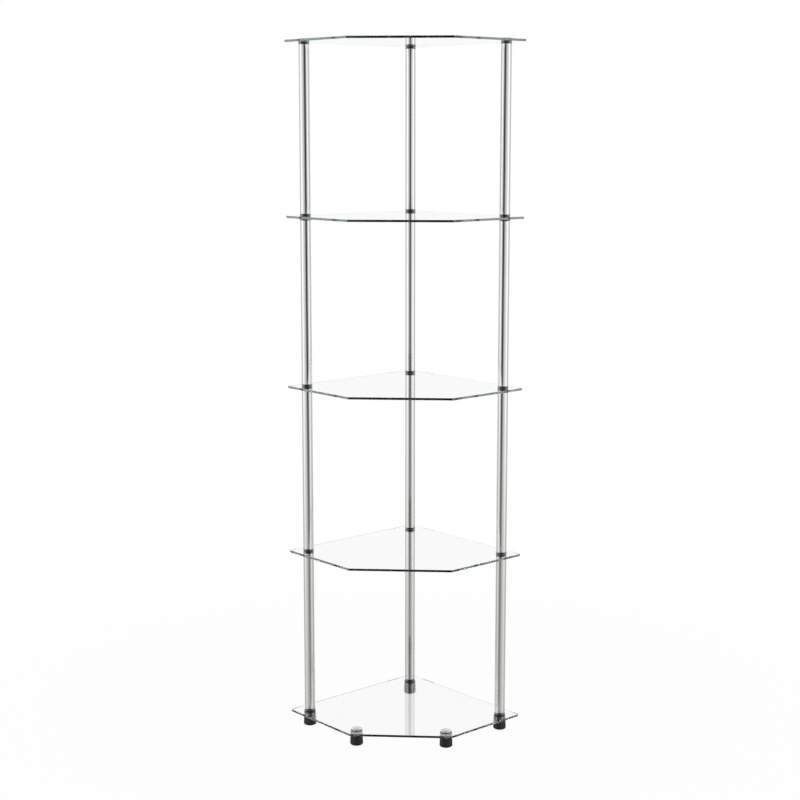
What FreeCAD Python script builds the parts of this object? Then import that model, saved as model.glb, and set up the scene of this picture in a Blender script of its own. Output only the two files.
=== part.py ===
"""Glass corner etagere: five pentagonal glass shelves stacked on three posts of steel tube.

Millimetres, +Z up. The origin is on the floor under the middle of the overall box. The two wall
sides meet at the back corner on +Y, and the straight front edge faces -Y.
"""

import FreeCAD, Part
import Sketcher
import os

DRIVING = (
    # glass
    ("wall_side", 300.0),
    ("short_side", 171.0),
    ("glass_thickness", 4.0),
    ("corner_round", 3.0),
    ("hole_inset", 25.0),
    ("hole_gap", 1.0),
    # posts
    ("tube_diameter", 19.0),
    ("tube_wall", 1.0),
    ("tube_length", 294.0),
    # end plugs
    ("flange_height", 4.0),
    ("flange_proud", 0.3),
    ("shank_length", 12.0),
    ("slip_gap", 0.1),
    # studs and screws
    ("stud_diameter", 6.0),
    ("thread_gap", 0.05),
    ("screw_end_gap", 0.5),
    # feet
    ("foot_height", 24.0),
    ("foot_top_diameter", 21.8),
    ("foot_sole_diameter", 23.6),
    ("sole_bevel", 2.0),
    ("sole_thickness", 8.0),
    # caps
    ("cap_diameter", 20.0),
    ("cap_rim", 0.8),
    ("cap_rise", 1.8),
    ("gasket_thickness", 0.6),
)
SHELF_COUNT = 5
BOTTOM, *MIDDLE, TOP = range(1, SHELF_COUNT + 1)
TIERS = (BOTTOM, *MIDDLE)

doc = FreeCAD.newDocument("corner_etagere")
dims = doc.addObject("Spreadsheet::Sheet", "dims")
for row, (alias, size) in enumerate(DRIVING, start=1):
    dims.set(f"A{row}", alias)
    dims.set(f"B{row}", str(size))
    dims.setAlias(f"B{row}", alias)
doc.recompute()

# Plan of a shelf: a square with its front corner cut off, standing on its back corner.
TIP_X = "dims.wall_side * sqrt(0.5)"
FRONT_RUN = "dims.short_side * sqrt(0.5)"
FRONT_HALF = f"({TIP_X} - {FRONT_RUN})"
CORNER_LOSS = "dims.corner_round * (sqrt(2) - 1)"
FRONT_Y = f"-({TIP_X} - {CORNER_LOSS} + {FRONT_RUN}) / 2"
TIP_Y = f"({FRONT_Y} + {FRONT_RUN})"
BACK_Y = f"({TIP_Y} + {TIP_X})"
SHELF_CORNERS = (
    ("0", BACK_Y),
    (f"-{TIP_X}", TIP_Y),
    (f"-{FRONT_HALF}", FRONT_Y),
    (FRONT_HALF, FRONT_Y),
    (TIP_X, TIP_Y),
)

# Every hole is hole_inset away from both of the edges that meet at its corner.
SQUARE_INSET = "dims.hole_inset * sqrt(2)"
POST_X = f"({TIP_X} - {SQUARE_INSET})"
FRONT_FOOT_X = f"({FRONT_HALF} - dims.hole_inset * (sqrt(2) - 1))"
FRONT_FOOT_Y = f"{FRONT_Y} + dims.hole_inset"
POSTS = {
    "left": (f"-{POST_X}", TIP_Y),
    "right": (POST_X, TIP_Y),
    "back": ("0", f"{BACK_Y} - {SQUARE_INSET}"),
}
FRONT_FEET = {
    "front_left": (f"-{FRONT_FOOT_X}", FRONT_FOOT_Y),
    "front_right": (FRONT_FOOT_X, FRONT_FOOT_Y),
}

# Heights up the stack.
PITCH = "(dims.glass_thickness + 2 * dims.flange_height + dims.tube_length)"
PLUG_LENGTH = "(dims.flange_height + dims.shank_length)"
FOOT_THREAD = "(dims.foot_height - dims.sole_thickness)"

# Radii that pieces share.
TUBE_BORE = "(dims.tube_diameter / 2 - dims.tube_wall)"
STUD_RADIUS = "dims.stud_diameter / 2"
CORE_CORNER = f"(({STUD_RADIUS} + dims.thread_gap) * 2 / sqrt(3))"
HOLE_RADIUS = f"({STUD_RADIUS} + dims.hole_gap)"

ORIGIN_POINT = (-1, 1)
H_AXIS_INDEX, V_AXIS_INDEX = -1, -2
UPSIDE_DOWN = FreeCAD.Rotation(FreeCAD.Vector(1, 0, 0), 180)

subparts = []


def glass_underside(shelf):
    return f"(dims.foot_height + {shelf - BOTTOM} * {PITCH})"


def glass_top(shelf):
    return f"({glass_underside(shelf)} + dims.glass_thickness)"


def number(expression):
    """The value of an expression over the sheet."""
    return float(dims.evalExpression(expression))


def new_body(label, place, height, rotation=FreeCAD.Rotation()):
    """An empty body standing at a plan position and a height, all three bound to the sheet."""
    body = doc.addObject("PartDesign::Body", label)
    body.Label = label
    body.Placement = FreeCAD.Placement(FreeCAD.Vector(), rotation)
    for axis, expression in zip("xyz", (*place, height)):
        body.setExpression(f".Placement.Base.{axis}", expression)
    return body


def new_sketch(body, suffix, plane_role):
    sketch = body.newObject("Sketcher::SketchObject", f"{body.Label}_{suffix}")
    plane = next(item for item in body.Origin.OriginFeatures if item.Role == plane_role)
    sketch.AttachmentSupport = [(plane, "")]
    sketch.MapMode = "FlatFace"
    return sketch


def pin_point(sketch, geometry, vertex, x, y):
    """Holds a sketch point at two expressions; the expression 0 puts it on that axis."""
    for kind, axis, expression in (("DistanceX", V_AXIS_INDEX, x), ("DistanceY", H_AXIS_INDEX, y)):
        if expression == "0":
            sketch.addConstraint(Sketcher.Constraint("PointOnObject", geometry, vertex, axis))
            continue
        held = Sketcher.Constraint(kind, *ORIGIN_POINT, geometry, vertex, number(expression))
        index = sketch.addConstraint(held)
        sketch.setExpression(f"Constraints[{index}]", expression)


def draw_outline(sketch, corners, domed_side=None):
    """A closed outline through pairs of expressions. A domed side is an arc centred on the upright axis."""
    points = [FreeCAD.Vector(number(x), number(y), 0) for x, y in corners]
    sides = []
    for side, (start, end) in enumerate(zip(points, points[1:] + points[:1])):
        if side == domed_side:
            radius = ((start.x - end.x) ** 2 + (start.y - end.y) ** 2) / (2 * (end.y - start.y))
            centre = FreeCAD.Vector(0, end.y - radius, 0)
            circle = Part.Circle(centre, FreeCAD.Vector(0, 0, 1), radius)
            curve = Part.ArcOfCircle(circle, circle.parameter(start), circle.parameter(end))
        else:
            curve = Part.LineSegment(start, end)
        sides.append(sketch.addGeometry(curve))
    for side, following in zip(sides, sides[1:] + sides[:1]):
        sketch.addConstraint(Sketcher.Constraint("Coincident", side, 2, following, 1))
    for side, (x, y) in zip(sides, corners):
        pin_point(sketch, side, 1, x, y)
    if domed_side is not None:
        sketch.addConstraint(Sketcher.Constraint("PointOnObject", sides[domed_side], 3, V_AXIS_INDEX))


def draw_circle(sketch, x, y, radius):
    centre = FreeCAD.Vector(number(x), number(y), 0)
    circle = sketch.addGeometry(Part.Circle(centre, FreeCAD.Vector(0, 0, 1), number(radius)))
    if (x, y) == ("0", "0"):
        sketch.addConstraint(Sketcher.Constraint("Coincident", circle, 3, *ORIGIN_POINT))
    else:
        pin_point(sketch, circle, 3, x, y)
    index = sketch.addConstraint(Sketcher.Constraint("Radius", circle, number(radius)))
    sketch.setExpression(f"Constraints[{index}]", radius)


def hexagon(corner_radius):
    """The corners of a regular hexagon round the origin."""
    half = f"{corner_radius} / 2"
    rise = f"{corner_radius} * sqrt(3) / 2"
    return (
        (corner_radius, "0"),
        (half, rise),
        (f"-{half}", rise),
        (f"-{corner_radius}", "0"),
        (f"-{half}", f"-{rise}"),
        (half, f"-{rise}"),
    )


def pad(body, suffix, sketch, length):
    feature = body.newObject("PartDesign::Pad", f"{body.Label}_{suffix}")
    feature.Profile = sketch
    feature.setExpression("Length", length)
    doc.recompute()
    return feature


def cut_through(body, suffix, sketch):
    """Cuts a sketch on the body's ground plane up through all of the body."""
    before = body.Shape.Volume
    feature = body.newObject("PartDesign::Pocket", f"{body.Label}_{suffix}")
    feature.Profile = sketch
    feature.Type = "ThroughAll"
    feature.Reversed = True
    doc.recompute()
    if body.Shape.Volume >= before:
        raise RuntimeError(f"{feature.Label} cut nothing")


def edges_of(feature, wanted):
    return [f"Edge{n}" for n, edge in enumerate(feature.Shape.Edges, start=1) if wanted(edge)]


def is_upright(edge):
    box = edge.BoundBox
    return box.ZLength > box.XLength + box.YLength


def turned(body, corners, domed_side=None):
    """A full turn of a half profile of (radius, height) corners about the body's upright axis."""
    profile = new_sketch(body, "profile", "XZ_Plane")
    draw_outline(profile, corners, domed_side)
    turn = body.newObject("PartDesign::Revolution", f"{body.Label}_turn")
    turn.Profile = profile
    turn.ReferenceAxis = (profile, ["V_Axis"])
    turn.Angle = 360
    return turn


def glass_shelf(shelf, drilled):
    """A sheet of glass, cut to the plan, its corners rounded, then drilled."""
    body = new_body(f"glass_shelf_{shelf}", ("0", "0"), glass_underside(shelf))
    outline = new_sketch(body, "outline", "XY_Plane")
    draw_outline(outline, SHELF_CORNERS)
    sheet = pad(body, "sheet", outline, "dims.glass_thickness")

    corners = body.newObject("PartDesign::Fillet", f"{body.Label}_corners")
    corners.Base = (sheet, edges_of(sheet, is_upright))
    corners.setExpression("Radius", "dims.corner_round")
    doc.recompute()

    holes = new_sketch(body, "holes", "XY_Plane")
    for x, y in drilled:
        draw_circle(holes, x, y, HOLE_RADIUS)
    cut_through(body, "drill", holes)
    subparts.append(body)


def post_tube(post, tier):
    """A length of round tube, cut square, between the flanges of its two plugs."""
    height = f"{glass_top(tier)} + dims.flange_height"
    body = new_body(f"post_tube_{post}_{tier}", POSTS[post], height)
    outside = "dims.tube_diameter / 2"
    turned(
        body,
        (
            (TUBE_BORE, "0"),
            (outside, "0"),
            (outside, "dims.tube_length"),
            (TUBE_BORE, "dims.tube_length"),
        ),
    )
    subparts.append(body)


def end_plug(post, tier, end):
    """A moulded plug: a round flange that bears on the glass, and a six-sided shank pushed into the
    tube. It is cored right through, six-sided again, for the stud to cut its thread in."""
    label = f"end_plug_{post}_{tier}_{end}"
    if end == "lower":
        body = new_body(label, POSTS[post], glass_top(tier))
    else:
        body = new_body(label, POSTS[post], glass_underside(tier + 1), UPSIDE_DOWN)
    rim = new_sketch(body, "rim", "XY_Plane")
    draw_circle(rim, "0", "0", "dims.tube_diameter / 2 + dims.flange_proud")
    pad(body, "flange", rim, "dims.flange_height")
    section = new_sketch(body, "section", "XY_Plane")
    draw_outline(section, hexagon(f"({TUBE_BORE} - dims.slip_gap)"))
    pad(body, "shank", section, PLUG_LENGTH)
    core = new_sketch(body, "core", "XY_Plane")
    draw_outline(core, hexagon(CORE_CORNER))
    cut_through(body, "core_hole", core)
    return body


def stud(label, place, foot_of_stud, length):
    """A threaded stud, drawn at the thread's outside diameter."""
    body = new_body(label, place, foot_of_stud)
    turned(body, (("0", "0"), (STUD_RADIUS, "0"), (STUD_RADIUS, length), ("0", length)))
    return body


def foot(label, place):
    """A tapered moulded foot with a bevelled sole, cored from its top for the stud or screw."""
    body = new_body(label, place, "0")
    blank = turned(
        body,
        (
            ("0", "0"),
            ("dims.foot_sole_diameter / 2 - dims.sole_bevel", "0"),
            ("dims.foot_sole_diameter / 2", "dims.sole_bevel"),
            ("dims.foot_top_diameter / 2", "dims.foot_height"),
            ("0", "dims.foot_height"),
        ),
    )
    doc.recompute()

    core = new_sketch(body, "core", "XY_Plane")
    core.setExpression(".AttachmentOffset.Base.z", "dims.foot_height")
    draw_outline(core, hexagon(CORE_CORNER))
    hole = body.newObject("PartDesign::Pocket", f"{label}_core_hole")
    hole.Profile = core
    hole.setExpression("Length", FOOT_THREAD)
    doc.recompute()
    if hole.Shape.Volume >= blank.Shape.Volume:
        raise RuntimeError(f"{label}: the core was not cut")
    return body


def domed_cap(label, place, shelf, thread):
    """A low dome with a short upright rim, in one piece with the screw under it."""
    body = new_body(label, place, f"{glass_top(shelf)} + dims.gasket_thickness")
    rim = "dims.cap_diameter / 2"
    reach = f"-(dims.gasket_thickness + dims.glass_thickness + {thread} - dims.screw_end_gap)"
    turned(
        body,
        (
            ("0", reach),
            (STUD_RADIUS, reach),
            (STUD_RADIUS, "0"),
            (rim, "0"),
            (rim, "dims.cap_rim"),
            ("0", "dims.cap_rim + dims.cap_rise"),
        ),
        domed_side=4,
    )
    return body


def group(label, bodies):
    """Like pieces that share one node and stay separate solids."""
    together = doc.addObject("Part::Compound", label)
    together.Label = label
    together.Links = bodies
    subparts.append(together)


# Feet, and the bottom shelf that they carry at five corners.
group("feet", [foot(f"foot_{corner}", place) for corner, place in {**POSTS, **FRONT_FEET}.items()])
glass_shelf(BOTTOM, (*POSTS.values(), *FRONT_FEET.values()))
for shelf in (*MIDDLE, TOP):
    glass_shelf(shelf, POSTS.values())

# Tubes with a pair of plugs in their ends, tier by tier.
for tier in TIERS:
    for post in POSTS:
        post_tube(post, tier)
        group(f"end_plugs_{post}_{tier}", [end_plug(post, tier, end) for end in ("lower", "upper")])

# Studs through the glass: feet to the lowest tubes, and tube to tube at each middle shelf.
foot_stud_length = f"{FOOT_THREAD} + dims.glass_thickness + {PLUG_LENGTH}"
group(
    "foot_studs",
    [
        stud(f"foot_stud_{post}", place, "dims.sole_thickness", foot_stud_length)
        for post, place in POSTS.items()
    ],
)
joining_length = f"2 * {PLUG_LENGTH} + dims.glass_thickness"
for shelf in MIDDLE:
    start = f"{glass_underside(shelf)} - {PLUG_LENGTH}"
    group(
        f"joining_studs_shelf_{shelf}",
        [
            stud(f"joining_stud_{post}_{shelf}", place, start, joining_length)
            for post, place in POSTS.items()
        ],
    )

# Domed caps, each a gasket's thickness off the glass: over the posts on the top shelf, and over the
# front feet on the bottom one.
caps = [domed_cap(f"cap_{post}", place, TOP, PLUG_LENGTH) for post, place in POSTS.items()]
caps += [domed_cap(f"cap_{corner}", place, BOTTOM, FOOT_THREAD) for corner, place in FRONT_FEET.items()]
group("domed_caps", caps)

doc.recompute()
for item in doc.Objects:
    if "Invalid" in item.State or "Error" in item.State:
        raise RuntimeError(f"{item.Label}: {item.State}")
for item in subparts:
    if item.Shape.isNull() or not item.Shape.isValid():
        raise RuntimeError(f"{item.Label}: its shape is not valid")

os.makedirs("parts", exist_ok=True)
for item in subparts:
    item.Shape.exportStep(f"parts/{item.Label}.step")
print(f"{len(subparts)} sub-parts written")
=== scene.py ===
import math

import bmesh
import bpy
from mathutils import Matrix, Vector


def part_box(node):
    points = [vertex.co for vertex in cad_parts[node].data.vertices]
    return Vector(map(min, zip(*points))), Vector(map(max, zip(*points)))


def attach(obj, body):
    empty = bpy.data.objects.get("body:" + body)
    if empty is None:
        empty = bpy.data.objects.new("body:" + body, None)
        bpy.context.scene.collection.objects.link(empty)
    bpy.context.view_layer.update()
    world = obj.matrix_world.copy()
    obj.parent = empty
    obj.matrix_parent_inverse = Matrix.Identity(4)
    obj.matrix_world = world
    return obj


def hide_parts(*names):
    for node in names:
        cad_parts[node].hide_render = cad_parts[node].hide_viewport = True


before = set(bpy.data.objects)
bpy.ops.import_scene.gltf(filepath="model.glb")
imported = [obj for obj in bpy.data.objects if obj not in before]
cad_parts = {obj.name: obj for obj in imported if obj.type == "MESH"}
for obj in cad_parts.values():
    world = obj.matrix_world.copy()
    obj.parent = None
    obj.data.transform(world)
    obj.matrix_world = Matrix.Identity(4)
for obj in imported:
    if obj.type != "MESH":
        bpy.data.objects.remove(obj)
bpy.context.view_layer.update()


# Feet
# Five tapered feet, moulded in black plastic with a softly rounded sole. Three are screwed to the
# posts through the bottom glass and two carry its front corners.
class Field:
    """A socket of a node tree; sums on it in Python add Math nodes."""

    def __init__(self, tree, socket=None):
        self.tree = tree
        self.socket = socket

    def node(self, kind, settings=None, inputs=None, out=0):
        """Add a node: its settings first, then the values or links of its sockets."""
        made = self.tree.nodes.new(kind)
        for name, value in (settings or {}).items():
            if name == "stops":
                ramp = made.color_ramp.elements
                while len(ramp) < len(value):
                    ramp.new(0.5)
                for stop, (place, tone) in zip(ramp, value):
                    stop.position = place
                    stop.color = (tone, tone, tone, 1)
            else:
                setattr(made, name, value)
        for name, value in (inputs or {}).items():
            if isinstance(value, Field):
                self.tree.links.new(value.socket, made.inputs[name])
            else:
                made.inputs[name].default_value = value
        return Field(self.tree, made.outputs[out] if made.outputs else None)

    def sum(self, operation, first, second):
        """A Math node on two values."""
        return self.node("ShaderNodeMath", {"operation": operation}, {0: first, 1: second})

    def __add__(self, other):
        return self.sum("ADD", self, other)

    def __radd__(self, other):
        return self.sum("ADD", other, self)

    def __sub__(self, other):
        return self.sum("SUBTRACT", self, other)

    def __rsub__(self, other):
        return self.sum("SUBTRACT", other, self)

    def __mul__(self, other):
        return self.sum("MULTIPLY", self, other)

    def __rmul__(self, other):
        return self.sum("MULTIPLY", other, self)


def new_finish(name):
    """A material with an empty node tree, and a field to start its nodes from."""
    finish = bpy.data.materials.new(name)
    finish.use_nodes = True
    finish.node_tree.nodes.clear()
    return finish, Field(finish.node_tree)


def surface(field, shader, **volume):
    """Join a finished shader, and a volume where there is one, to the material's output."""
    field.node("ShaderNodeOutputMaterial", inputs={"Surface": shader, **volume})


def spot(field):
    """The place on the piece, in metres."""
    return field.node("ShaderNodeTexCoord", out="Object")


def vector_sum(field, operation, *parts, out="Vector"):
    """A Vector Math node on the given vectors; its output Value is a number."""
    return field.node("ShaderNodeVectorMath", {"operation": operation}, dict(enumerate(parts)), out)


def speckle(field, place, size, stretch=(1, 1, 1), detail=2.0):
    """Cloudy noise from 0 to 1 whose blotches are about the given size, in metres."""
    scaled = vector_sum(field, "MULTIPLY", place, stretch)
    return field.node("ShaderNodeTexNoise", inputs={"Vector": scaled, "Scale": 1 / size, "Detail": detail})


# The output of a Mix node that holds the mixed colour
MIXED_COLOUR = 2


def tint(field, amount, low, high):
    """A colour that goes from low to high with the amount."""
    colours = {6: (*low, 1), 7: (*high, 1)}
    return field.node("ShaderNodeMix", {"data_type": "RGBA"}, {0: amount, **colours}, MIXED_COLOUR)


def relief(field, height, depth):
    """A bump of the given depth in metres."""
    return field.node("ShaderNodeBump", inputs={"Height": height, "Distance": depth, "Strength": 1.0})


def between(field, value, low, high):
    """From 0 at the low value to 1 at the high one, eased at both ends."""
    return field.node("ShaderNodeMapRange", {"interpolation_type": "SMOOTHSTEP"},
                      {"Value": value, "From Min": low, "From Max": high})


PLASTIC_GRAIN, PLASTIC_CLOUD = 0.0004, 0.006
FLANK_TURN = 0.05, 0.30


def moulded_black(name, roughness, coat, index, grain_depth):
    """Black plastic from a mould: faint grain, cloudy gloss, a clear skin that shows at the flanks."""
    finish, field = new_finish(name)
    place = spot(field)
    grain = speckle(field, place, PLASTIC_GRAIN, detail=3)
    cloud = speckle(field, place, PLASTIC_CLOUD)
    facing = field.node("ShaderNodeLayerWeight", inputs={"Blend": 0.5}, out="Facing")
    flank = between(field, facing, *FLANK_TURN)
    shader = field.node("ShaderNodeBsdfPrincipled", inputs={
        "Base Color": tint(field, cloud, (0.006, 0.006, 0.0065), (0.011, 0.011, 0.0115)),
        "Roughness": roughness + 0.1 * cloud,
        "IOR": index,
        "Coat Weight": coat * flank + 0.1 * grain,
        "Coat Roughness": 0.03,
        "Coat IOR": 2.6,
        "Normal": relief(field, grain, grain_depth),
    })
    surface(field, shader)
    return finish


def eased(corners, steps=6):
    """Round each corner (radius, height, ease) of a turned outline by its ease."""
    line = []
    for before, corner, after in zip(corners[:1] + corners[:-1], corners, corners[1:] + corners[-1:]):
        point = Vector(corner[:2])
        ease = corner[2]
        if not ease:
            line.append(point)
            continue
        start = point + (Vector(before[:2]) - point).normalized() * ease
        end = point + (Vector(after[:2]) - point).normalized() * ease
        for step in range(steps + 1):
            part = step / steps
            line.append(start * (1 - part) ** 2 + point * (2 * part * (1 - part)) + end * part ** 2)
    return line


SIDES = 72
SAME_POINT = 1e-7
SHARP_TURN = math.radians(38)


def turned(name, outline, place, finish):
    """Turn an outline of radius and height, in metres, about an upright axis, as on a lathe."""
    shape = bmesh.new()
    rings = []
    for radius, height in outline:
        ring = []
        for side in range(SIDES if radius > SAME_POINT else 1):
            turn = math.tau * side / SIDES
            ring.append(shape.verts.new((radius * math.cos(turn), radius * math.sin(turn), height)))
        rings.append(ring)
    for low, high in zip(rings, rings[1:]):
        for side in range(SIDES):
            corners = (
                low[side % len(low)],
                low[(side + 1) % len(low)],
                high[(side + 1) % len(high)],
                high[side % len(high)],
            )
            shape.faces.new(list(dict.fromkeys(corners)))
    bmesh.ops.remove_doubles(shape, verts=shape.verts, dist=SAME_POINT)
    bmesh.ops.recalc_face_normals(shape, faces=shape.faces)
    mesh = bpy.data.meshes.new(name)
    shape.to_mesh(mesh)
    shape.free()
    mesh.shade_smooth()
    mesh.set_sharp_from_angle(angle=SHARP_TURN)
    mesh.materials.append(finish)
    piece = bpy.data.objects.new(name, mesh)
    piece.location = place
    bpy.context.scene.collection.objects.link(piece)
    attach(piece, "root")
    return piece


# Plan of the glass: a square with its front corner cut off. Each hole is as far in from both of the
# edges that meet at its corner.
WALL_SIDE, SHORT_SIDE, HOLE_INSET = 0.300, 0.171, 0.025
FRONT_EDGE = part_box("glass_shelf_1")[0].y
FRONT_HALF = (WALL_SIDE - SHORT_SIDE) * math.sqrt(0.5)
SIDE_Y = FRONT_EDGE + SHORT_SIDE * math.sqrt(0.5)
POST_X = WALL_SIDE * math.sqrt(0.5) - HOLE_INSET * math.sqrt(2)
POSTS = {"left": (-POST_X, SIDE_Y), "right": (POST_X, SIDE_Y), "back": (0.0, SIDE_Y + POST_X)}
FRONT_X = FRONT_HALF - HOLE_INSET * (math.sqrt(2) - 1)
FRONT_Y = FRONT_EDGE + HOLE_INSET
FRONT_CORNERS = {"front_left": (-FRONT_X, FRONT_Y), "front_right": (FRONT_X, FRONT_Y)}

# A hair of air keeps plastic and rubber off the glass, so that no two faces lie in one plane.
AIR = 0.00005
FOOT_TOP, FOOT_SOLE, SOLE_FLAT, SOLE_BEVEL = 0.0109, 0.0118, 0.0099, 0.0017
HOLLOW, HOLLOW_FLOOR, HOLLOW_DEPTH = 0.0080, 0.0072, 0.0010
FOOT_CORE, CORE_FLOOR = 0.0031, 0.0080
foot_plastic = moulded_black("foot_plastic", roughness=0.50, coat=0.0, index=1.35, grain_depth=0.00002)
foot_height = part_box("feet")[1].z - AIR
foot_outline = eased((
    (0.0, HOLLOW_DEPTH, 0),
    (HOLLOW_FLOOR, HOLLOW_DEPTH, 0.0003),
    (HOLLOW, 0.0, 0.0003),
    (SOLE_FLAT, 0.0, 0.0008),
    (FOOT_SOLE, SOLE_BEVEL, 0.0009),
    (FOOT_TOP, foot_height, 0.0005),
    (FOOT_CORE, foot_height, 0),
    (FOOT_CORE, CORE_FLOOR, 0),
    (0.0, CORE_FLOOR, 0),
))
for corner, (x, y) in {**POSTS, **FRONT_CORNERS}.items():
    foot = turned(f"foot_{corner}", foot_outline, (x, y, 0), foot_plastic)
    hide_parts("feet")


# Glass shelves
# Five sheets of clear float glass, drilled for the studs. The edges are ground and polished. The edges
# that face the front carry a painted green that stands in for light running along the sheet. Drilled walls
# and the bottom sheet's front corners are matt.
def along(field, vector, axis):
    """One part of a vector."""
    return field.node("ShaderNodeSeparateXYZ", inputs={"Vector": vector}, out=axis)


def nearest(field, place, points):
    """The distance from a place to the nearest of some points, in metres, and never over one."""
    least = 1.0
    for point in points:
        reach = vector_sum(field, "DISTANCE", place, point, out="Value")
        least = field.sum("MINIMUM", least, reach)
    return least


SHELF_COUNT = 5
IN_PLAN = (1, 1, 0)
WIPE_MARKS = 0.05
HOLE_REACH = 0.0055
DRESSING_END, DRESSING_START = 0.038, 0.004
FACES_FRONT = -0.9
# Painted light: the green on the front edges stands in for light that runs along the sheet
PAINTED_EDGE_LIGHT_GREEN = (0.62, 0.92, 0.70)
ARRIS = 0.0005
ARRIS_TURN = math.radians(40)
JOIN_REACH = 0.00001
glass, field = new_finish("clear_float_glass")
place = spot(field)
wipe = speckle(field, place, WIPE_MARKS, (1, 3, 1), 4)
normal = field.node("ShaderNodeNewGeometry", out="True Normal")
facing = along(field, normal, "Z")
edge = 1 - facing * facing
front_edge = field.sum("LESS_THAN", along(field, normal, "Y"), FACES_FRONT)
holes = [(x, y, 0) for x, y in (*POSTS.values(), *FRONT_CORNERS.values())]
to_hole = nearest(field, vector_sum(field, "MULTIPLY", place, IN_PLAN), holes)
drilled = field.sum("LESS_THAN", to_hole, HOLE_REACH)
low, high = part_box("glass_shelf_1")
cut_corners = [(x, FRONT_EDGE, (low.z + high.z) / 2) for x in (-FRONT_HALF, FRONT_HALF)]
dressed = front_edge * between(field, nearest(field, place, cut_corners), DRESSING_END, DRESSING_START)
faces = tint(field, wipe, (0.960, 0.964, 0.962), (0.972, 0.975, 0.974))
shader = field.node("ShaderNodeBsdfPrincipled", inputs={
    # The front edges get the painted green light; the faces' tint follows the wipe marks
    "Base Color": field.node("ShaderNodeMix", {"data_type": "RGBA"},
                             {0: front_edge, 6: faces, 7: (*PAINTED_EDGE_LIGHT_GREEN, 1)}, MIXED_COLOUR),
    "Roughness": 0.003 * wipe + edge * (0.10 + 0.50 * drilled + 0.55 * dressed),
    "IOR": 1.52,
    "Transmission Weight": 1.0,
    "Coat Weight": 0.6 * facing * facing,
    "Coat Roughness": 0.0,
    "Coat IOR": 1.5,
})
green = field.node("ShaderNodeVolumeAbsorption", inputs={"Color": (0.55, 0.62, 0.60, 1), "Density": 10.0})
surface(field, shader, Volume=green)
for number in range(1, SHELF_COUNT + 1):
    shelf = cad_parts[f"glass_shelf_{number}"]
    shelf.material_slots[0].material = glass
    shelf.visible_shadow = False
    shelf.visible_diffuse = False
    join = shelf.modifiers.new("joined_faces", "WELD")
    join.merge_threshold = JOIN_REACH
    arris = shelf.modifiers.new("ground_arris", "BEVEL")
    arris.width = ARRIS
    arris.segments = 2
    arris.limit_method = "ANGLE"
    arris.angle_limit = ARRIS_TURN


# End plugs
# A black plastic plug closes each end of each tube. Its flange stands between tube and glass and
# shows as a black ring; its shank, pushed into the tube, takes the thread of a stud or a cap's screw.
FLANGE, SHANK, BORE = 0.0098, 0.0084, 0.00305
FLANGE_HEIGHT, SHANK_LENGTH = 0.004, 0.012
TIERS = range(1, SHELF_COUNT)
ring_plastic = moulded_black("ring_plastic", roughness=0.06, coat=1.0, index=1.45, grain_depth=0.000003)
for post, (x, y) in POSTS.items():
    for tier in TIERS:
        low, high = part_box(f"end_plugs_{post}_{tier}")
        for end, z, way in (("lower", low.z, 1), ("upper", high.z, -1)):
            base = way * AIR
            neck = way * FLANGE_HEIGHT
            tail = way * (FLANGE_HEIGHT + SHANK_LENGTH)
            plug_outline = eased((
                (BORE, base, 0),
                (FLANGE, base, 0.0010),
                (FLANGE, neck, 0.0005),
                (SHANK, neck, 0),
                (SHANK, tail, 0.0006),
                (BORE, tail, 0),
                (BORE, base, 0),
            ), 4)
            name = f"end_plug_{post}_{tier}_{end}"
            plug = turned(name, plug_outline, (x, y, z), ring_plastic)
            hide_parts(f"end_plugs_{post}_{tier}")


# Post tubes
# Twelve lengths of bright thin steel tube, four to a post, drawn and polished lengthwise.
# Each is clamped to the glass at both ends by the stud or screw in its end plug.
DRAW_LINES, TUBE_CLOUD = 0.0006, 0.03
tube_steel, field = new_finish("polished_tube_steel")
place = spot(field)
draw_lines = speckle(field, place, DRAW_LINES, (1, 1, 0.02), 3)
cloud = speckle(field, place, TUBE_CLOUD, (1, 1, 0.4))
shader = field.node("ShaderNodeBsdfPrincipled", inputs={
    "Base Color": tint(field, cloud, (0.70, 0.698, 0.694), (0.74, 0.738, 0.734)),
    "Metallic": 1.0,
    "Roughness": 0.07 + 0.04 * cloud + 0.03 * draw_lines,
    "Normal": relief(field, draw_lines, 0.000002),
})
surface(field, shader)
for post in POSTS:
    for tier in TIERS:
        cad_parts[f"post_tube_{post}_{tier}"].material_slots[0].material = tube_steel


# Studs
# Threaded steel rods, zinc plated, that join the tubes of two tiers through the glass and the
# feet to the lowest tubes. All but the short length in the glass is hidden in tubes and feet.
THREAD_PITCH, ZINC_PATCH = 0.001, 0.002
zinc, field = new_finish("zinc_plated_thread")
place = spot(field)
turns = field.sum("PINGPONG", along(field, place, "Z"), THREAD_PITCH / 2)
patches = speckle(field, place, ZINC_PATCH)
shader = field.node("ShaderNodeBsdfPrincipled", inputs={
    "Base Color": tint(field, patches, (0.42, 0.42, 0.41), (0.56, 0.56, 0.54)),
    "Metallic": 1.0,
    "Roughness": 0.28 + 0.2 * patches,
    "Normal": relief(field, turns, 1.0),
})
surface(field, shader)
for name in ("foot_studs", *(f"joining_studs_shelf_{number}" for number in range(2, SHELF_COUNT))):
    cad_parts[name].material_slots[0].material = zinc


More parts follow.
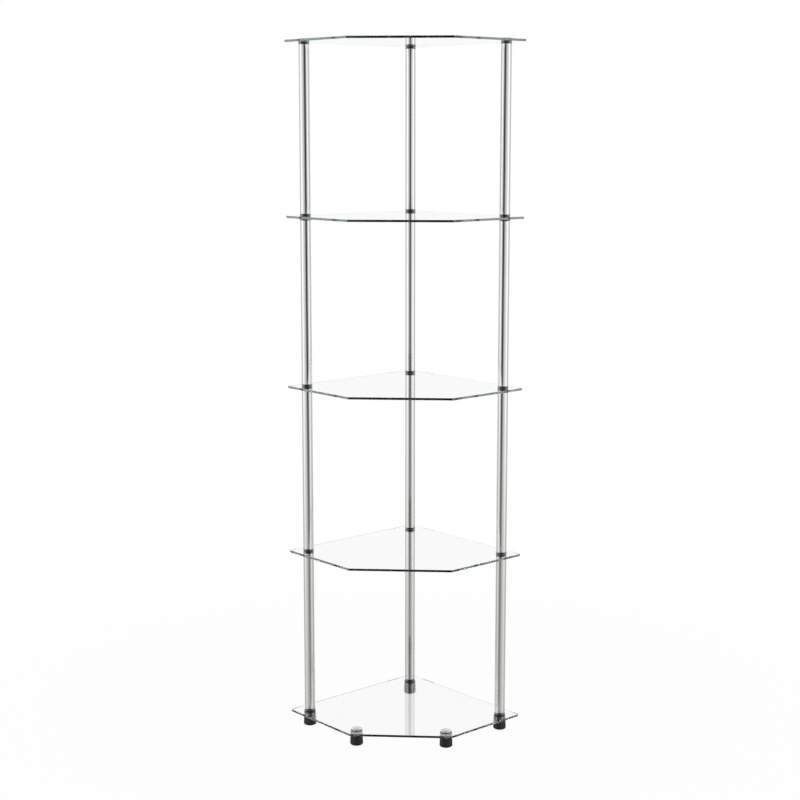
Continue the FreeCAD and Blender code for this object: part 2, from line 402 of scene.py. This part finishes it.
# Domed caps and their washers
# Five bright domed caps, turned from steel and plated, each in one piece with its screw: three close
# the posts on the top glass and two hold the front feet. A thin rubber washer saves the glass.
CAP, CAP_RIM, CAP_RISE = 0.0100, 0.0008, 0.0018
SCREW, SCREW_END = 0.0030, -0.0195
WASHER, WASHER_HOLE, WASHER_HEIGHT = 0.0098, 0.0032, 0.0006
DOME_STEPS, RIM_STEPS = 18, 2
SPIN_RINGS = 9000.0
CAP_HAZE, RUBBER_BLOOM = 0.004, 0.0015
cap_metal, field = new_finish("plated_cap_metal")
place = spot(field)
from_axis = vector_sum(field, "LENGTH", vector_sum(field, "MULTIPLY", place, IN_PLAN), out="Value")
spin_rings = field.node("ShaderNodeTexNoise", {"noise_dimensions": "1D"},
                        {"W": from_axis, "Scale": SPIN_RINGS})
haze = speckle(field, place, CAP_HAZE)
shader = field.node("ShaderNodeBsdfPrincipled", inputs={
    "Base Color": tint(field, haze, (0.84, 0.84, 0.835), (0.90, 0.90, 0.895)),
    "Metallic": 1.0,
    "Roughness": 0.20 + 0.10 * haze,
    "Normal": relief(field, spin_rings, 0.000004),
})
surface(field, shader)
rubber, field = new_finish("washer_rubber")
bloom = speckle(field, spot(field), RUBBER_BLOOM)
shader = field.node("ShaderNodeBsdfPrincipled", inputs={
    "Base Color": tint(field, bloom, (0.06, 0.06, 0.06), (0.10, 0.10, 0.10)),
    "Roughness": 0.5 + 0.2 * bloom,
})
surface(field, shader)

# The dome is an arc, and the rounding of the rim takes the place of its first steps.
arc = (CAP ** 2 + CAP_RISE ** 2) / (2 * CAP_RISE)
arc_centre = WASHER_HEIGHT + CAP_RIM + CAP_RISE - arc
dome = []
for step in range(RIM_STEPS, DOME_STEPS + 1):
    lean = math.asin(CAP / arc) * (1 - step / DOME_STEPS)
    dome.append((arc * math.sin(lean), arc_centre + arc * math.cos(lean), 0))
cap_outline = eased((
    (0.0, SCREW_END, 0),
    (SCREW, SCREW_END, 0.0004),
    (SCREW, WASHER_HEIGHT, 0),
    (CAP, WASHER_HEIGHT, 0.00025),
    (CAP, WASHER_HEIGHT + CAP_RIM, 0.0007),
    *dome,
))
washer_outline = eased((
    (WASHER_HOLE, AIR, 0),
    (WASHER, AIR, 0.0001),
    (WASHER, WASHER_HEIGHT, 0.0001),
    (WASHER_HOLE, WASHER_HEIGHT, 0),
    (WASHER_HOLE, AIR, 0),
), 3)
for number, corners in ((SHELF_COUNT, POSTS), (1, FRONT_CORNERS)):
    glass_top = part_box(f"glass_shelf_{number}")[1].z
    for corner, (x, y) in corners.items():
        seat = (x, y, glass_top)
        cap = turned(f"domed_cap_{corner}", cap_outline, seat, cap_metal)
        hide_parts("domed_caps")
        turned(f"washer_{corner}", washer_outline, seat, rubber)


# Floor and studio
# A plain pale sweep between two large soft boxes, with a dark gap in front where the camera looks in.
# Metal mirrors that studio, on a curved flag near the object and in the world behind it. The floor is
# left out of mirrors, and polished glass mirrors a calmer studio than the metal does.

# Turns from the front, in degrees, and how bright the studio's walls are there
STUDIO_TONES = (
    (180, 0.60), (150, 0.62), (136, 0.54), (120, 0.40), (106, 0.44), (95, 0.60), (85, 0.78), (76, 0.88),
    (62, 0.93), (52, 0.70), (43, 0.54), (30, 0.38), (21, 0.27), (12, 0.07), (0, 0.02),
)
STUDIO_LEVEL = 1.6
FLOOR_SHARE, FLOOR_TONE = 0.57, 0.29
DIM_TURN, DIM_ROUND, DIM_AHEAD = (60, 25), 0.3, 0.3

# A ray's count of mirrors goes past these at its first mirror and at its second
FIRST_MIRROR, SECOND_MIRROR = 0.5, 1.5


def cosine(turn):
    """The cosine of a turn in degrees."""
    return math.cos(math.radians(turn))


def toward_front(field, way):
    """The cosine of the turn, in plan, between a direction and the front."""
    level = vector_sum(field, "NORMALIZE", vector_sum(field, "MULTIPLY", way, IN_PLAN))
    return vector_sum(field, "DOT_PRODUCT", level, (0, -1, 0), out="Value")


def studio_tone(field, front):
    """How bright the studio is round its walls, by the cosine of the turn from the front."""
    stops = [(0.5 + 0.5 * cosine(turn), tone) for turn, tone in STUDIO_TONES]
    return STUDIO_LEVEL * field.node("ShaderNodeValToRGB", {"stops": stops}, {"Fac": 0.5 + 0.5 * front})


def toward_floor(tone, low):
    """The tone of the walls as they run down into the floor."""
    return tone * (1 - FLOOR_SHARE * low) + FLOOR_TONE * low


def ray(field, fact):
    """What is known of the ray that meets a surface or the world."""
    return field.node("ShaderNodeLightPath", out=fact)


def plain_or_mirrored(field):
    """Whether a ray shows the plain white studio, and whether it comes by way of a mirror."""
    through = ray(field, "Is Transmission Ray")
    straight = field.sum("LESS_THAN", ray(field, "Glossy Depth"), FIRST_MIRROR)
    plain = field.sum("MAXIMUM", ray(field, "Is Camera Ray"), through * straight)
    bent = field.sum("MAXIMUM", ray(field, "Is Glossy Ray"), through)
    return plain, bent * (1 - plain)


def in_glass(field):
    """Whether a ray last met polished glass, which mirrors more sharply than the metal does."""
    return ray(field, "Is Glossy Ray") * ray(field, "Is Singular Ray")


def mirrored_twice(field):
    """Whether a ray has met two mirrors."""
    return field.sum("GREATER_THAN", ray(field, "Glossy Depth"), SECOND_MIRROR)


def dimming(field, front, low):
    """How much darker the low studio is to metal that is itself seen in glass, most of all in front."""
    off_metal = ray(field, "Is Glossy Ray") * (1 - ray(field, "Is Singular Ray"))
    ahead = between(field, front, *map(cosine, DIM_TURN))
    return mirrored_twice(field) * off_metal * low * (DIM_ROUND + DIM_AHEAD * ahead)


def shade(field, colour, level):
    """A colour times a level."""
    return field.node("ShaderNodeVectorMath", {"operation": "SCALE"}, {0: colour, "Scale": level})


def staged(name, sheet, finish):
    """Stand a sheet of the studio by the object."""
    mesh = bpy.data.meshes.new(name)
    sheet.to_mesh(mesh)
    sheet.free()
    mesh.materials.append(finish)
    piece = bpy.data.objects.new(name, mesh)
    bpy.context.scene.collection.objects.link(piece)
    return piece


# The sweep shows white, and near the object a share of its lit paper too, which holds the shadow.
SWEEP_SIZE, SWEEP_PARTS, PAPER_FIBRES = 20, 24, 0.02
SHADOW_SHARE, SHADOW_NEAR, SHADOW_FAR = 0.05, 0.3, 1.6
paper, field = new_finish("pale_sweep")
plain, mirror = plain_or_mirrored(field)
spread = field.node("ShaderNodeNewGeometry", out="Position")
fibres = speckle(field, spread, PAPER_FIBRES, detail=3)
colour = tint(field, fibres, (0.80, 0.80, 0.79), (0.84, 0.84, 0.83))
lit = field.node("ShaderNodeBsdfDiffuse", inputs={"Color": colour})
white = field.node("ShaderNodeEmission", inputs={"Color": (1, 1, 1, 1), "Strength": 1.0})
away = vector_sum(field, "LENGTH", spread, out="Value")
far = between(field, away, SHADOW_NEAR, SHADOW_FAR)
share = plain * (1 - SHADOW_SHARE + SHADOW_SHARE * far)
seen = field.node("ShaderNodeMixShader", inputs={0: share, 1: lit, 2: white})
clear = field.node("ShaderNodeBsdfTransparent")
surface(field, field.node("ShaderNodeMixShader", inputs={0: mirror, 1: seen, 2: clear}))
sheet = bmesh.new()
bmesh.ops.create_grid(sheet, x_segments=SWEEP_PARTS, y_segments=SWEEP_PARTS, size=SWEEP_SIZE)
staged("floor", sheet, paper)

# The flag is seen only in reflections, and not in those of polished glass. It stands near the object,
# so the posts see it from different sides.
FLAG_REACH, FLAG_FOOT, FLAG_TOP = 0.5, -0.4, 1.5
FLAG_TURN, FLAG_STEP, FLAG_FADE = 60, 3, (58, 46)
FLAG_LOW, FLAG_DIM = (0.7, -0.1), (0.45, 0.32)
flag_paint, field = new_finish("front_flag")
spread = field.node("ShaderNodeNewGeometry", out="Position")
height = along(field, spread, "Z")
front = toward_front(field, spread)
walls = toward_floor(studio_tone(field, front), between(field, height, *FLAG_LOW))
tone = walls * (1 - dimming(field, front, between(field, height, *FLAG_DIM)))
paint = field.node("ShaderNodeEmission", inputs={"Color": shade(field, (1, 1, 1), tone), "Strength": 1.0})
clear = field.node("ShaderNodeBsdfTransparent")
kept = between(field, front, *map(cosine, FLAG_FADE)) * (1 - in_glass(field))
surface(field, field.node("ShaderNodeMixShader", inputs={0: kept, 1: clear, 2: paint}))
sheet = bmesh.new()
rows = []
for z in (FLAG_FOOT, FLAG_TOP):
    row = []
    for turn in range(-FLAG_TURN, FLAG_TURN + 1, FLAG_STEP):
        angle = math.radians(turn)
        row.append(sheet.verts.new((FLAG_REACH * math.sin(angle), -FLAG_REACH * math.cos(angle), z)))
    rows.append(row)
lower, upper = rows
for step in range(len(lower) - 1):
    sheet.faces.new((lower[step], lower[step + 1], upper[step + 1], upper[step]))
flag = staged("front_flag", sheet, flag_paint)
flag.visible_camera = False
flag.visible_diffuse = False
flag.visible_transmission = False
flag.visible_shadow = False

# The world's heights are sines of the angle above the floor. Rays that go on down through glass, or
# have met two mirrors, most likely came off the metal, and see the studio's front as metal does.
CEILING_EDGE, CEILING_FADE, CEILING_DROP = (0.40, 0.65), (0.35, 0.85), 0.55
FLOOR_RISE, SINKING_RISE, DIM_RISE = (-0.10, -0.34), (-0.06, -0.12), (0.27, 0.33)
FRONT_WALLS, GLASS_CALM = (0.2, 0.5), 0.96
GAP_TURN, GAP_RISE, GAP_DEPTH = (162, 171), (0.34, 0.06), 0.8
RIGHT_SIDE, RIGHT_SHADE = (0.4, 0.8), 0.7
FILL_LEVEL = 0.7
world = bpy.data.worlds.new("studio")
bpy.context.scene.world = world
world.use_nodes = True
world.node_tree.nodes.clear()
world.cycles.sampling_method = "NONE"
field = Field(world.node_tree)
plain, mirror = plain_or_mirrored(field)
through = ray(field, "Is Transmission Ray")
way = field.node("ShaderNodeTexCoord", out="Generated")
rise = along(field, way, "Z")
front = toward_front(field, way)
above = between(field, rise, *CEILING_EDGE)
below = between(field, rise, *FLOOR_RISE)
sinking = through * between(field, rise, *SINKING_RISE)
off_metal = field.sum("MAXIMUM", sinking, mirrored_twice(field)) * between(field, front, *FRONT_WALLS)
calm = GLASS_CALM * in_glass(field) * (1 - off_metal)
gap = between(field, front, *map(cosine, GAP_TURN)) * between(field, rise, *GAP_RISE)
right = through * below * between(field, along(field, way, "X"), *RIGHT_SIDE)
in_metal = studio_tone(field, front) * (1 - GAP_DEPTH * gap)
tone = (in_metal * (1 - calm) + calm * (1 - RIGHT_SHADE * right)) * (1 - above) + above
walls = toward_floor(tone, below) * (1 - dimming(field, front, between(field, rise, *DIM_RISE)))
ceiling = 1 - CEILING_DROP * between(field, rise, *CEILING_FADE)
level = plain + mirror * walls * ceiling + (1 - plain - mirror) * FILL_LEVEL
warmth = tint(field, below * mirror, (1, 1, 1), (1, 0.99, 0.95))
light = field.node("ShaderNodeBackground", inputs={"Color": shade(field, warmth, level), "Strength": 1.0})
field.node("ShaderNodeOutputWorld", inputs={"Surface": light})

# Two soft boxes, tilted down at the middle tiers.
BOX_WIDTH, BOX_LENGTH, BOX_POWER = 1.2, 1.8, 14
BOX_ASIDE, BOX_AHEAD, BOX_HEIGHT = 1.7, -1.4, 2.1
BOX_TARGET = Vector((0, 0, 0.5))
for side, x in (("left", -BOX_ASIDE), ("right", BOX_ASIDE)):
    lamp = bpy.data.lights.new(f"soft_box_{side}", "AREA")
    lamp.shape = "RECTANGLE"
    lamp.size = BOX_WIDTH
    lamp.size_y = BOX_LENGTH
    lamp.energy = BOX_POWER
    box = bpy.data.objects.new(f"soft_box_{side}", lamp)
    box.location = (x, BOX_AHEAD, BOX_HEIGHT)
    box.rotation_euler = (BOX_TARGET - box.location).to_track_quat("-Z", "Y").to_euler()
    box.visible_glossy = False
    box.visible_transmission = False
    box.visible_camera = False
    bpy.context.scene.collection.objects.link(box)


# Camera
# A long lens at the photograph's viewing angle: level with the top tier, a little to the right of
# the object's middle, looking slightly down. Glass and mirrors need many bounces of light.
CAMERA_PLACE = (0.1750, -2.9450, 1.0978)
LOOKS_DOWN, LOOKS_LEFT = 9.416, 3.617
LENS, SENSOR = 73.48, 36.0
BOUNCES = 32
lens = bpy.data.cameras.new("camera")
lens.lens = LENS
lens.sensor_width = SENSOR
lens.clip_end = 100
camera = bpy.data.objects.new("camera", lens)
camera.location = CAMERA_PLACE
camera.rotation_euler = (math.radians(90 - LOOKS_DOWN), 0, math.radians(LOOKS_LEFT))
bpy.context.scene.collection.objects.link(camera)
bpy.context.scene.camera = camera
bpy.context.scene.view_settings.view_transform = "Standard"
bpy.context.scene.cycles.max_bounces = BOUNCES
bpy.context.scene.cycles.glossy_bounces = BOUNCES
bpy.context.scene.cycles.transmission_bounces = BOUNCES
